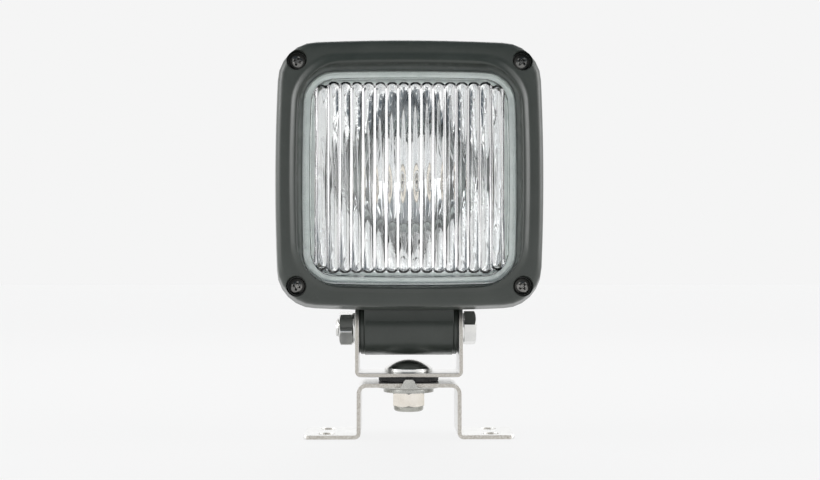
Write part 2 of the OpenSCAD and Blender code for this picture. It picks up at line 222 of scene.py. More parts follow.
def silvered_rubber():
    """Lens seal with a satin silver-grey face, a little cloudy."""
    mat, tree, shader = new_material("seal_grey")
    shader.inputs["Metallic"].default_value = 0.9
    mottle(tree, shader.inputs["Base Color"], 120, 3, (0.80, 0.88, 0.85), (0.90, 0.97, 0.94))
    mottle(tree, shader.inputs["Roughness"], 500, 3, 0.38, 0.52)
    bump(tree, shader, noise_tex(tree, 900, 2), 0.15, 0.00005)
    return mat


def mirror_coat():
    """Vacuum-aluminised reflector with a very faint lacquer ripple."""
    mat, tree, shader = new_material("reflector_coat")
    shader.inputs["Metallic"].default_value = 1.0
    mottle(tree, shader.inputs["Base Color"], 50, 3, (0.90, 0.91, 0.91), (0.96, 0.96, 0.96))
    mottle(tree, shader.inputs["Roughness"], 200, 3, 0.008, 0.02)
    bump(tree, shader, noise_tex(tree, 160, 2), 0.015, 0.0001)
    return mat


MATERIALS = {
    "head_paint": powder_coat(),
    "zinc": plated_sheet("zinc", (0.05, 1, 1)),
    "bright_steel": plated_part("bright_steel", (0.72, 0.72, 0.71), (0.82, 0.82, 0.80), (0.10, 0.18)),
    "warm_steel": plated_part("warm_steel", (0.74, 0.69, 0.62), (0.84, 0.80, 0.74), (0.14, 0.22)),
    "dull_zinc": plated_part("dull_zinc", (0.42, 0.42, 0.40), (0.54, 0.54, 0.51), (0.22, 0.34)),
    # Darker steel for the lock nut's collar and top chamfer: painted shade.
    "nut_painted_shade_steel": plated_part("nut_painted_shade_steel", (0.36, 0.36, 0.33), (0.50, 0.50, 0.46), (0.2, 0.3)),
    "screw_steel": plated_part("screw_steel", (0.14, 0.14, 0.135), (0.24, 0.235, 0.225), (0.12, 0.2)),
    "brass": plated_part("brass", (0.62, 0.45, 0.18), (0.78, 0.60, 0.30), (0.2, 0.35)),
    "filament": plated_part("filament", (0.20, 0.20, 0.21), (0.34, 0.34, 0.36), (0.3, 0.45)),
    "rubber": moulded("rubber", (0.010, 0.010, 0.010), (0.018, 0.018, 0.018), (0.55, 0.72), 0.3),
    "seal_grey": silvered_rubber(),
    "black_plastic": moulded("black_plastic", (0.014, 0.018, 0.016), (0.022, 0.027, 0.024), (0.38, 0.5)),
    "nylon": moulded("nylon", (0.05, 0.09, 0.26), (0.08, 0.13, 0.34), (0.35, 0.5)),
    "feed_wire": moulded("feed_wire", (0.40, 0.02, 0.015), (0.52, 0.035, 0.02), (0.3, 0.42)),
    "earth_wire": moulded("earth_wire", (0.11, 0.05, 0.02), (0.16, 0.07, 0.03), (0.3, 0.42)),
    "lens_glass": clear_glass("lens_glass", (0.985, 0.995, 0.99), 0.002, 0.02),
    "bulb_glass": clear_glass("bulb_glass", (0.97, 0.975, 0.98), 0.005),
    "reflector_coat": mirror_coat(),
}
SLOT_OF = {s["node"]: s["material_slot"] for s in frame["record"]["subparts"]}


# ---------------------------------------------------------------- mesh tools

def mesh_object(name, points, faces, smooth_angle=40):
    """A mesh from points in millimetres, shaded smooth below smooth_angle degrees."""
    mesh = bpy.data.meshes.new(name)
    mesh.from_pydata([Vector(p) * MM for p in points], [], faces)
    mesh.validate()
    obj = bpy.data.objects.new(name, mesh)
    bpy.context.scene.collection.objects.link(obj)
    tidy_normals(obj, smooth_angle)
    return obj


def tidy_normals(obj, smooth_angle=40):
    bm = bmesh.new()
    bm.from_mesh(obj.data)
    bmesh.ops.remove_doubles(bm, verts=bm.verts, dist=0.002 * MM)
    bmesh.ops.recalc_face_normals(bm, faces=bm.faces)
    limit = math.radians(smooth_angle)
    for f in bm.faces:
        f.smooth = True
    for e in bm.edges:
        e.smooth = len(e.link_faces) != 2 or e.calc_face_angle(0) < limit
    bm.to_mesh(obj.data)
    bm.free()


def apply_modifiers(obj):
    graph = bpy.context.evaluated_depsgraph_get()
    mesh = bpy.data.meshes.new_from_object(obj.evaluated_get(graph))
    obj.modifiers.clear()
    obj.data = mesh


def cut(obj, tool, operation="DIFFERENCE"):
    mod = obj.modifiers.new("cut", "BOOLEAN")
    mod.operation = operation
    mod.solver = "MANIFOLD"
    mod.object = tool
    apply_modifiers(obj)
    bpy.data.objects.remove(tool)


def ride(obj, body, slot, material, *replaced):
    obj.data.materials.clear()
    obj.data.materials.append(MATERIALS[material])
    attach(obj, body)
    if replaced:
        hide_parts(*replaced)
    return obj


BOX_FACES = [(0, 3, 2, 1), (4, 5, 6, 7), (0, 1, 5, 4), (1, 2, 6, 5), (2, 3, 7, 6), (3, 0, 4, 7)]
AXIS_TURN = {
    "z": Matrix.Identity(3),
    "x": Matrix.Rotation(math.pi / 2, 3, "Y"),
    "-x": Matrix.Rotation(-math.pi / 2, 3, "Y"),
    "y": Matrix.Rotation(-math.pi / 2, 3, "X"),
    "-y": Matrix.Rotation(math.pi / 2, 3, "X"),
}


def lathe(name, profile, centre, axis="z", steps=96, smooth_angle=35, shape=None):
    """Turns (radius, height) points about an axis; shape(angle, r, h) may move each point."""
    turn, centre = AXIS_TURN[axis], Vector(centre)
    points, faces, n = [], [], len(profile)
    for k in range(steps):
        a = 2 * math.pi * k / steps
        for r, h in profile:
            if shape:
                r, h = shape(a, r, h)
            points.append(turn @ Vector((r * math.cos(a), r * math.sin(a), h)) + centre)
    for k in range(steps):
        for i in range(n - 1):
            a, b = k * n + i, ((k + 1) % steps) * n + i
            faces.append((a, b, b + 1, a + 1))
    if profile[0][0] > 0.02 and profile[0] != profile[-1]:
        faces.append([k * n for k in reversed(range(steps))])
    if profile[-1][0] > 0.02 and profile[0] != profile[-1]:
        faces.append([k * n + n - 1 for k in range(steps)])
    return mesh_object(name, points, faces, smooth_angle)


def arc(cx, cy, r, a0, a1, steps=8):
    return [(cx + r * math.cos(math.radians(a0 + (a1 - a0) * i / steps)),
             cy + r * math.sin(math.radians(a0 + (a1 - a0) * i / steps))) for i in range(steps + 1)]


def join(name, objects):
    bm = bmesh.new()
    for o in objects:
        bm.from_mesh(o.data)
    mesh = bpy.data.meshes.new(name)
    bm.to_mesh(mesh)
    bm.free()
    for o in objects:
        bpy.data.objects.remove(o)
    out = bpy.data.objects.new(name, mesh)
    bpy.context.scene.collection.objects.link(out)
    return out


# Rounded square outlines, as in the part.

def outline_radius(half, radius, angle):
    c, s = abs(math.cos(angle)), abs(math.sin(angle))
    k, t = half - radius, half / max(c, s)
    if min(c, s) * t <= k:
        return t
    d = (c + s) * k
    return d + math.sqrt(max(0.0, d * d - 2 * k * k + radius * radius))


def outline(half, radius, bulge, angle):
    t = outline_radius(half, radius, angle)
    x, z = t * math.cos(angle), t * math.sin(angle)
    u, v = x / half, z / half
    return x * (1 + bulge / half * (1 - v * v)), z * (1 + bulge / half * (1 - u * u))


def outline_angles(per_quarter):
    """Angles that crowd towards the corners."""
    out = []
    for q in range(4):
        for i in range(per_quarter):
            t = i / per_quarter
            out.append((q + t + 0.11 * math.sin(4 * math.pi * t) / 2) * math.pi / 2)
    return out


def padded_rings(rings):
    return [tuple(q) + (0.0,) * (5 - len(q)) for q in rings]


def smooth_rings(rings, per_span):
    """Catmull-Rom points through ring tuples."""
    rings, out = padded_rings(rings), []
    for i in range(len(rings) - 1):
        p = [rings[max(0, min(len(rings) - 1, i + k))] for k in (-1, 0, 1, 2)]
        for s in range(per_span):
            t = s / per_span
            out.append(tuple(0.5 * (2 * b + (c - a) * t + (2 * a - 5 * b + 4 * c - d) * t * t
                                    + (3 * b - a - 3 * c + d) * t ** 3) for a, b, c, d in zip(*p)))
    return out + [rings[-1]]


def ring_skin(name, rings, closed, centre_z=HEAD_Z, per_quarter=48, smooth_angle=35):
    """A skin through rings (y, half, radius, bulge, drop)."""
    angles = outline_angles(per_quarter)
    n, points, faces = len(angles), [], []
    for y, half, radius, bulge, drop in padded_rings(rings):
        for a in angles:
            x, z = outline(half, min(radius, half), bulge, a)
            points.append((x, y, z + centre_z - drop))
    spans = len(rings) if closed else len(rings) - 1
    for k in range(spans):
        a, b = k * n, ((k + 1) % len(rings)) * n
        for i in range(n):
            j = (i + 1) % n
            faces.append((a + i, b + i, b + j, a + j))
    if not closed:
        faces.append(list(reversed(range(n))))
        faces.append(list(range((len(rings) - 1) * n, len(rings) * n)))
    return mesh_object(name, points, faces, smooth_angle)


SCREWS = [(i * SCREW_OFF, HEAD_Z + j * SCREW_OFF) for i in (-1, 1) for j in (-1, 1)]


# ---------------------------------------------------------------- head

def make_bezel():
    b, d = BULGE, LENS_DROP
    outer = smooth_rings([
        (-24.0, 65.0, 17, b), (-24.25, 65.2, 17, b), (-30, 64.6, 17, b), (-36.5, 63.9, 17, b),
        (-38.6, 63.45, 16.9, b), (-39.9, 62.65, 16.6, b), (-40.75, 61.5, 16, b), (-41.0, 60.2, 17.2, b),
        (-41.1, 58.6, 18.9, b, d / 12), (-41.15, 57.2, 20.4, b, d / 8), (-41.4, 56.5, 21, b, d / 5),
        (-42.0, 55.8, 21, b, d / 4), (-42.6, 55.1, 20.9, 1.9, d / 3), (-42.95, 54.4, 20.4, 1.8, d / 2),
        (-42.75, 53.8, 19.5, 1.6, d * 0.65), (-41.4, 53.25, 18.2, 1.4, d * 0.8), (-38.5, 52.95, 16.8, 1.2, d),
        (-34, 52.8, 15.2, 1.1, d), (-31.4, 52.6, 14.4, 1, d)], 4)
    rings = [(-24, 57.5, 24.5, 1, d)] + outer + [(-30.6, OPEN_HALF, 14, 1, d), (-29.9, OPEN_HALF, 14, 1, d),
                                                (-29.9, 57.5, 24.5, 1, d)]
    bezel = ring_skin("bezel_shell", rings, True)
    for x, z in SCREWS:
        bore = [(0, -50), (5.35, -50), (5.35, -41.2), (5.0, -40.6), (5.0, -33.3), (4.7, SCREW_SEAT_Y),
                (2.7, SCREW_SEAT_Y), (2.7, -20), (0, -20)]
        cut(bezel, lathe("tool", bore, (x, 0, z), "y", ROUND_STEPS))
    tidy_normals(bezel, 35)
    return ride(bezel, "lamp_head", "head_paint", "head_paint", "bezel")


def bezel_screw_part(x, z, turn):
    """Pan head with a cross recess, and its threaded shank."""
    head = [(0, 2.6)] + arc(0, -8.6, 11.2, 90, 70, 6)[1:] + arc(3.4, 1.2, 0.75, 55, 0, 4) + [
        (4.1, 0.25), (3.9, 0), (0, 0)]
    screw = lathe("screw", head, (0, 0, 0), "z", ROUND_STEPS)
    for a in (0, 90):
        tool = mesh_object("cross", wedge_points(5.0, 1.15, 3.0, 1.0), BOX_FACES)
        tool.data.transform(Matrix.Rotation(math.radians(a), 4, "Z"))
        cut(screw, tool)
    place = Matrix.Translation(Vector((x, SCREW_SEAT_Y, z)) * MM)
    spin = Matrix.Rotation(math.radians(turn), 4, "Y") @ Matrix.Rotation(math.pi / 2, 4, "X")
    screw.data.transform(place @ spin)
    shank = threaded_rod("shank", 2.45, 0.8, SCREW_SEAT_Y, -14.6, (x, 0, z), "y", 0.35)
    return screw, shank


def wedge_points(width, thick, top, bottom):
    """Corners of a recess tool that narrows towards its tip."""
    w, t, s = width / 2, thick / 2, 0.42
    points = [(-w * s, -t * 0.7, bottom), (w * s, -t * 0.7, bottom), (w * s, t * 0.7, bottom),
              (-w * s, t * 0.7, bottom), (-w, -t, top), (w, -t, top), (w, t, top), (-w, t, top)]
    return points


def rod_faces(rows, around):
    """Faces of a closed rod whose points are rows of a ring each."""
    faces = []
    for k in range(rows - 1):
        for i in range(around):
            j = (i + 1) % around
            faces.append((k * around + i, k * around + j, (k + 1) * around + j, (k + 1) * around + i))
    faces.append(list(reversed(range(around))))
    faces.append(list(range((rows - 1) * around, rows * around)))
    return faces


def threaded_rod(name, radius, pitch, start, end, centre, axis, depth=None, chamfer=0.6):
    """A right-hand V thread with rounded crests and chamfered ends."""
    depth = depth or pitch * 0.55
    around, per_pitch = 40, 8
    rows = max(2, int(round((end - start) / pitch * per_pitch)))
    turn, centre = AXIS_TURN[axis], Vector(centre)
    points = []
    for k in range(rows + 1):
        h = start + (end - start) * k / rows
        from_end = min(h - start, end - h)
        limit = radius - max(0.0, chamfer - from_end)
        for i in range(around):
            a = 2 * math.pi * i / around
            phase = (h / pitch - i / around) % 1.0
            r = radius - depth * (1 - abs(2 * phase - 1)) ** 1.2
            r = min(r, limit)
            points.append(turn @ Vector((r * math.cos(a), r * math.sin(a), h)) + centre)
    return mesh_object(name, points, rod_faces(rows + 1, around), 50)


def make_bezel_screws():
    parts = []
    for (x, z), turn in zip(SCREWS, (12, 20, 48, 40)):
        parts += bezel_screw_part(x, z, turn)
    return ride(join("bezel_screw_set", parts), "lamp_head", "screw_steel", "screw_steel", "bezel_screws")


def flute_end(x):
    """Half length of the flute centred at x: shorter near the lens corners."""
    half_w, half_h, corner = 46.2, 44.4, 7.6
    over = abs(x) - (half_w - corner)
    if over <= 0:
        return half_h
    return half_h - corner + math.sqrt(max(0.0, corner ** 2 - over ** 2))


LENS_STEP = 0.4


def make_lens():
    """Pressed lens: a smooth stepped front and vertical flutes with rounded ends behind."""
    w = FLUTE_PITCH / 2
    back, depth, front = -30.5, 2.1, -33.4
    half_x, margin_steps, per_flute = 49.4, 4, 16
    fine_rows, coarse_rows = 58, 30
    roundness, ripple_height = 0.90, 0.004
    margin = half_x - FLUTES * w
    xs = [-half_x + margin * i / margin_steps for i in range(margin_steps)]
    xs += [-FLUTES * w + FLUTE_PITCH * i / per_flute for i in range(FLUTES * per_flute + 1)]
    xs += [FLUTES * w + margin * (i + 1) / margin_steps for i in range(margin_steps)]
    zs = [-half_x + LENS_STEP * i for i in range(fine_rows)]
    middle = zs[-1]
    zs += [middle * (1 - i / coarse_rows) for i in range(1, coarse_rows + 1)]
    zs += [-z for z in reversed(zs[:-1])]
    points, faces = [], []
    for z in zs:
        for x in xs:
            i = min(FLUTES - 1, max(0, int((x / FLUTE_PITCH) + FLUTES / 2)))
            centre = (i - (FLUTES - 1) / 2) * FLUTE_PITCH
            u = (x - centre) / w
            v = max(0.0, abs(z) - flute_end(centre)) / w
            rr = u * u * roundness + v * v
            rise = depth * math.sqrt(max(0.0, 1 - rr)) if abs(u) <= 1.001 else 0.0
            ripple = ripple_height * noise.noise(Vector((x * 0.9, z * 0.10, 3.0))) if rise > 0 else 0.0
            points.append((x, back + rise + ripple, z + LENS_Z))
    n, m = len(xs), len(zs)
    for k in range(m - 1):
        for i in range(n - 1):
            a = k * n + i
            faces.append((a, a + 1, a + n + 1, a + n))
    rim = list(range(n)) + [k * n + n - 1 for k in range(1, m)]
    rim += [(m - 1) * n + i for i in range(n - 2, -1, -1)] + [k * n for k in range(m - 2, 0, -1)]
    base = len(points)
    for i in rim:
        points.append((points[i][0], front - 3, points[i][2]))
    for k in range(len(rim)):
        j = (k + 1) % len(rim)
        faces.append((rim[k], rim[j], base + j, base + k))
    faces.append(list(range(base, base + len(rim))))
    plate = mesh_object("lens_plate", points, faces, 35)
    rings = smooth_rings([(-31.5, 51.45, 13.2, 1), (-32.1, 51.1, 12.9, 1), (-32.35, 50.2, 12.2, 1),
                          (-32.4, 49.0, 11.2, 1), (-32.5, 48.5, 10.8, 1), (-33.0, 48.1, 10.4, 1),
                          (-33.35, 47.6, 10.0, 1)], 4)
    front_rings = [(-27.6, 49.2, 11.4, 1), (-29.0, 51.6, 13.4, 1)] + rings
    front_skin = ring_skin("lens_front", front_rings, False, LENS_Z)
    cut(plate, front_skin, "INTERSECT")
    rim_rings = [(-27.6, 48.2, 11.2, 1), (-27.6, 57, 24, 1), (-29.9, 57, 24, 1), (-29.9, 51.6, 13.4, 1),
                 (-31.4, 51.5, 13.3, 1)] + rings + [(-31.0, 47.5, 10.0, 1), (-29.6, 47.7, 10.4, 1)]
    frame_part = ring_skin("lens_rim", rim_rings, True, LENS_Z)
    cut(plate, frame_part, "UNION")
    plate.name = "fluted_lens"
    tidy_normals(plate, 32)
    return ride(plate, "lamp_head", "lens_glass", "lens_glass", "lens")


def make_reflector():
    """Paraboloid bowl cut by near-flat side walls, as a lamp this square needs."""
    walls = smooth_rings([(-22.9, 50.4, 16.6, 1), (-16, 50.1, 23, 0.8), (-9, 49.9, 33.4, 0.5),
                          (-3, 49.6, 44, 0.2), (0.4, 48.9, 48.8, 0)], 5)
    dish_r, dish_span, dish_steps = 48.2, 38.0, 40
    radii = [dish_r - i * dish_span / dish_steps for i in range(dish_steps + 1)]
    dish = [(PARABOLA_TOP - r * r / (4 * FOCAL), r, r * 0.998, 0) for r in radii]
    back = smooth_rings([(30.2, 13, 12.9, 0), (28, 17, 16.9, 0), (25, 23.2, 23.1, 0), (20.4, 31, 30.9, 0),
                         (14.6, 38.6, 38.5, 0), (8.2, 45, 44.9, 0), (1, 50.8, 50.7, 0), (-3, 51.5, 46.2, 0.2),
                         (-9, 51.9, 35.9, 0.5), (-16, 52.4, 25.5, 0.8)], 3)
    rings = [(-21.6, 53.2, 24.4, 1), (-21.6, 56.6, 23.8, 1), (-22.9, 56.6, 23.8, 1)] + walls + dish + [
        (30.2, 10.2, 10.1, 0)] + back
    obj = ring_skin("reflector_bowl", rings, True, LENS_Z, 64, 30)
    return ride(obj, "lamp_head", "reflector_coat", "reflector_coat", "reflector")


def make_housing():
    h, b, r = HEAD_HALF, BULGE, CORNER_R
    outer = smooth_rings([
        (45.5, 29.2, 20, 0), (45.3, 31.4, 20.6, 0), (44.3, 33.6, 21.5, 0), (42.6, 35.8, 22, 0.1),
        (38, 40.5, 23, 0.5), (26.5, 48, 24, 1), (11, 54.5, 24, 1), (-4, 57.6, 24, 1), (-11, 58.3, 24, 1),
        (-12.7, 58.9, 23, 1), (-13.25, 60.3, 21, 1.3), (-13.45, 62.4, 18.5, 1.8), (-13.8, h - 1.9, r, b),
        (-14.5, h - 0.8, r, b), (-16, h - 0.1, r, b), (-19, h - 0.1, r, b), (-22.6, h - 0.7, r, b),
        (-23, h - 1.1, r, b)], 4)
    d = LENS_DROP
    inner = smooth_rings([(-21.4, 53.8, 23.2, 1, d), (-14, 53.9, 25, 1, d / 2), (-5, 54, 27, 1, 0.4),
                          (10, 51.5, 26, 1), (25, 45, 24, 1), (36, 38, 23, 0.5), (40.5, 32, 22, 0),
                          (42.5, 28, 20, 0)], 3)
    rings = outer + [(-23, 56.8, 24, 1, d), (-21.5, 56.8, 24, 1, d)] + inner
    shell = ring_skin("rear_shell", rings, False)
    barrel = lathe("barrel", [(0, -23)] + [(13.4, -23), (14, -22.4), (14, 22.4), (13.4, 23), (0, 23)],
                   (0, 0, PIVOT_Z), "x", 96)
    web = web_block()
    cut(shell, barrel, "UNION")
    cut(shell, web, "UNION")
    for x, z in SCREWS:
        boss = [(0, -14.5), (6.4, -14.5), (6.4, -7.3)] + arc(5.6, -7.3, 0.8, 0, 90, 4) + [(0, -6.5)]
        cut(shell, lathe("boss", boss, (x, 0, z), "y", 48), "UNION")
    for x, z in SCREWS:
        cut(shell, lathe("hole", [(0, -26), (3.65, -26), (3.65, -13.9), (2.75, -13.4), (2.75, -9), (0, -8)],
                         (x, 0, z), "y", 48))
    cut(shell, lathe("bore", [(0, -30), (7.03, -30), (7.03, 30), (0, 30)], (0, 0, PIVOT_Z), "x", 64))
    cut(shell, lathe("hole", [(0, 38), (6.05, 38), (6.05, 50), (0, 50)], (0, 0, GLAND_Z), "y", 48))
    cut(shell, lathe("hole", [(0, 38), (3.05, 38), (3.05, 50), (0, 50)], (-20, 0, VENT_Z), "y", 48))
    tidy_normals(shell, 32)
    shell.name = "housing_shell"
    return ride(shell, "lamp_head", "head_paint", "head_paint", "housing")


def web_block():
    """The cast web between the pivot barrel and the shell, flared where it meets the shell."""
    y, x, z0 = 13.4, 22.8, PIVOT_Z
    levels = [(z0, 0.0), (z0 + 12, 0.0), (z0 + 15, 0.25), (z0 + 17, 0.9), (z0 + 18.4, 2.0)]
    points, faces = [], []
    for z, flare in levels:
        for sx, sy in ((-1, -1), (1, -1), (1, 1), (-1, 1)):
            points.append((sx * x, sy * (y + flare * (0.2 if sy < 0 else 1)), z))
    front_z, back_y, back_z = HEAD_Z - 56.9, y + 2.4, HEAD_Z - 53.4
    top = [(-x, -y, front_z), (x, -y, front_z), (x, back_y, back_z), (-x, back_y, back_z)]
    points += top
    for k in range(len(levels)):
        for i in range(4):
            j = (i + 1) % 4
            faces.append((k * 4 + i, k * 4 + j, (k + 1) * 4 + j, (k + 1) * 4 + i))
    faces.append((3, 2, 1, 0))
    n = len(levels) * 4
    faces.append((n, n + 1, n + 2, n + 3))
    return mesh_object("web", points, faces)


def make_bulb():
    z = LENS_Z
    glass_outer = arc(0, 8, 5.6, -90, 0, 12) + [(5.6, 26.5), (5.2, 27.5)]
    glass_inner = [(4.4, 27.5), (4.7, 26.5)] + list(reversed(arc(0, 8, 4.7, -90, 0, 12)))
    capsule = [(max(r, 0.0), h) for r, h in glass_outer + glass_inner]
    glass = lathe("bulb_capsule", capsule, (0, 0, z), "y", ROUND_STEPS)
    ride(glass, "lamp_head", "bulb_glass", "bulb_glass", "bulb_glass")
    flange = [(0, 27.5), (9.3, 27.5), (9.6, 27.8), (9.6, 30.3), (10.7, 30.3), (11, 30.5), (11, 31.3),
              (10.8, 31.5), (6, 31.5), (5.4, 32), (5.4, 34.6), (5.0, 35), (0, 35)]
    base = lathe("bulb_flange", flange, (0, 0, z), "y", ROUND_STEPS)
    ride(base, "lamp_head", "bright_steel", "warm_steel", "bulb_base")
    coil = []
    turns, steps = 14, 12
    for k in range(turns * steps + 1):
        a = 2 * math.pi * k / steps
        coil.append((-2.6 + 5.2 * k / (turns * steps), 14 + 0.62 * math.cos(a), z + 0.62 * math.sin(a)))
    path = [(-2.6, 27.5, z), (-2.6, 20, z)] + coil + [(2.6, 20, z), (2.6, 27.5, z)]
    ride(tube("filament_coil", path, 0.16, 8), "lamp_head", "filament", "filament", "bulb_filament")
    button = [(0, 35), (2.2, 35), (2.2, 36.6), (1.9, 37), (0, 37)]
    contact = lathe("contact_button", button, (0, 0, z), "y", 32)
    ride(contact, "lamp_head", "bright_steel", "warm_steel", "bulb_contact")


def tube(name, path, radius, around=16):
    """A round bar along a path of points."""
    pts = [Vector(p) for p in path]
    points, last = [], None
    up = Vector((0, 0, 1))
    for k, p in enumerate(pts):
        d = (pts[min(k + 1, len(pts) - 1)] - pts[max(k - 1, 0)]).normalized()
        side = d.cross(up)
        if side.length < 0.05:
            side = d.cross(Vector((1, 0, 0)))
        side.normalize()
        if last and side.dot(last) < 0:
            side = -side
        last = side
        other = d.cross(side)
        for i in range(around):
            a = 2 * math.pi * i / around
            points.append(p + radius * (side * math.cos(a) + other * math.sin(a)))
    return mesh_object(name, points, rod_faces(len(pts), around), 50)


# ---------------------------------------------------------------- fasteners

def hex_shape(af, height, chamfer_low, chamfer_high, turn=0.0):
    """Moves a lathe profile onto a hexagon whose corners are chamfered by a 30 degree cone."""
    flat = af / 2

    def shape(a, r, h):
        local = (math.degrees(a) - turn + 30) % 60 - 30
        corner = flat / math.cos(math.radians(local))
        if r < flat * 0.955:
            return r, h
        r = corner
        drop = max(0.0, corner - flat * 0.975) * math.tan(math.radians(30))
        if h <= 0.01 and chamfer_low:
            h = drop
        if h >= height - 0.01 and chamfer_high:
            h = height - drop
        return r, h
    return shape


def hex_nut(name, af, height, bore, centre, axis, turn=0.0, low=True, high=True):
    flat = af / 2
    profile = [(bore, 0.8), (bore + 0.8, 0), (flat * 0.95, 0), (flat, 0), (flat, height),
               (flat * 0.95, height), (bore + 0.8, height), (bore, height - 0.8), (bore, 0.8)]
    return lathe(name, profile, centre, axis, 120, 28, hex_shape(af, height, low, high, turn))


def hex_head(name, af, height, centre, axis, turn=0.0):
    flat = af / 2
    profile = [(0, 0), (flat * 0.93, 0), (flat, 0.01), (flat, height), (flat * 0.95, height),
               (flat * 0.6, height), (flat * 0.56, height - 0.18), (0, height - 0.18)]
    return lathe(name, profile, centre, axis, 120, 28, hex_shape(af, height, False, True, turn))


def make_fasteners():
    nut_x, nut_h, head_x, head_h = node_box("pivot_nut")[1].x, 7.2, 28.6, 6.1
    thread_x, tip_x, thread_depth, thread_chamfer = -24.0, -37.6, 0.8, 0.9
    head = hex_head("head", NUT_AF, head_h, (head_x, 0, PIVOT_Z), "x", 47)
    plain = [(0, thread_x), (BOLT_R, thread_x), (BOLT_R, head_x), (0, head_x)]
    shank = lathe("shank", plain, (0, 0, PIVOT_Z), "x", ROUND_STEPS)
    thread = threaded_rod("thread", BOLT_R, THREAD_PITCH, tip_x, thread_x, (0, 0, PIVOT_Z), "x", thread_depth,
                          thread_chamfer)
    ride(join("hex_pivot_bolt", [head, shank, thread]), "swivel_fork", "bright_steel", "bright_steel",
         "pivot_bolt")
    nut = hex_nut("hex_pivot_nut", NUT_AF, nut_h, BOLT_R - 0.5, (nut_x - nut_h, 0, PIVOT_Z), "x", 11)
    ride(nut, "swivel_fork", "bright_steel", "bright_steel", "pivot_nut")
    dome_z = node_box("yoke")[0].z + SHEET
    sphere_r, top = 19.28, 6.4
    cap = [(sphere_r * math.sin(math.radians(a)), top - sphere_r + sphere_r * math.cos(math.radians(a)))
           for a in [i * 39.2 / 14 for i in range(15)]]
    rim = arc(12.2, 1.6, 0.3, 50, 0, 5) + arc(12.2, 0.3, 0.3, 0, -70, 5)
    dome = lathe("dome", [(0, top)] + cap[1:] + rim + [(12.0, 0), (0, 0)], (0, 0, dome_z), "z", 128, 50)
    neck = mesh_box("neck", (-BOLT_R, -BOLT_R, dome_z - SHEET), (BOLT_R, BOLT_R, dome_z))
    rod = threaded_rod("rod", BOLT_R, THREAD_PITCH, 12.9, dome_z - SHEET, (0, 0, 0), "z", thread_depth,
                       thread_chamfer)
    ride(join("domed_carriage_bolt", [dome, neck, rod]), "swivel_fork", "bright_steel", "bright_steel",
         "carriage_bolt")
    body = hex_nut("body", NUT_AF, 7.5, BOLT_R - 0.4, (0, 0, 15), "z", 0, True, True)
    collar = lathe("collar", [(5.6, 2.6), (7.7, 2.6), (7.7, 1.5)] + arc(6.2, 1.5, 1.5, 0, -90, 6) + [
        (5.9, 0.0), (5.9, 0.35), (5.6, 0.45), (5.6, 2.6)], (0, 0, 12.5), "z", 96)
    nut = ride(join("locking_nut", [body, collar]), "swivel_fork", "bright_steel", "warm_steel", "lock_nut")
    # Painted shade: the collar and the upward-facing top chamfer take the darker steel, standing in for the
    # shade and dark reflections that fall there.
    nut.data.materials.append(MATERIALS["nut_painted_shade_steel"])
    collar_top, chamfer_low = 15.6, 21.6
    for face in nut.data.polygons:
        height = face.center.z / MM
        shaded_chamfer = height > chamfer_low and face.normal.z > 0.1
        face.material_index = 1 if height < collar_top or shaded_chamfer else 0
    section = [(5.0, 0.1), (5.2, 0), (6.3, 0), (6.5, 0.2), (6.5, 1.6), (6.3, 1.8), (5.2, 1.8), (5.0, 1.7),
               (5.0, 0.1)]
    ring = lathe("nylon_ring", section, (0, 0, 12.95), "z", ROUND_STEPS)
    ride(ring, "swivel_fork", "nylon", "nylon", "lock_nut_insert")


def mesh_box(name, low, high):
    (x0, y0, z0), (x1, y1, z1) = low, high
    square = [(x0, y0), (x1, y0), (x1, y1), (x0, y1)]
    return mesh_object(name, [(x, y, z) for z in (z0, z1) for x, y in square], BOX_FACES)


def make_rubber_pad():
    low, high = node_box("friction_pad")
    h = high.z - low.z
    side = arc(14.7, 0.8, 0.8, -90, 0, 6) + arc(14.7, h - 0.8, 0.8, 0, 90, 6)
    profile = [(5.1, 0.3), (5.4, 0), (14.6, 0)] + side + [(14.6, h), (5.4, h), (5.1, h - 0.3), (5.1, 0.3)]
    pad = lathe("rubber_pad", profile, (0, 0, low.z), "z", 96)
    return ride(pad, "swivel_fork", "rubber", "rubber", "friction_pad")


def make_gland():
    z = GLAND_Z
    flat_r = 7.97

    def hexagonal(a, r, h):
        return (r if r < 9 else flat_r / math.cos(math.radians(math.degrees(a) % 60 - 30))), h
    body = [(3.25, 41.5), (6.0, 41.5), (6.0, 45.5), (9.2, 45.5), (9.2, 49.5), (6.0, 49.5), (6.0, 53.5),
            (3.25, 53.5), (3.25, 41.5)]
    base = lathe("gland_base_a", body, (0, 0, z), "y", 120, 28, hexagonal)
    ride(base, "lamp_head", "black_plastic", "black_plastic", "gland_body")
    ribs = 18

    def ribbed(a, r, h):
        if r > 7.4 and 50.2 < h < 55.6:
            return r - 0.45 * (0.5 + 0.5 * math.cos(ribs * a)) ** 2, h
        return r, h
    outside = [(6.05, 49.7), (7.9, 49.7), (8.0, 50.1), (8.0, 50.4), (8.0, 54.6), (7.8, 55.4)]
    inside = [(6.0, 58.5), (3.6, 58.5), (3.25, 58.2), (3.25, 55.7), (5.4, 55.7), (5.4, 53.6), (6.05, 53.6),
              (6.05, 49.7)]
    profile = outside + arc(6.4, 56.9, 1.2, 20, 90, 5) + inside
    nut = lathe("gland_cap", profile, (0, 0, z), "y", 216, 30, ribbed)
    ride(nut, "lamp_head", "black_plastic", "black_plastic", "gland_nut")


make_bezel()
make_bezel_screws()
make_lens()
make_reflector()
make_housing()
make_bulb()
make_fasteners()
make_rubber_pad()
make_gland()

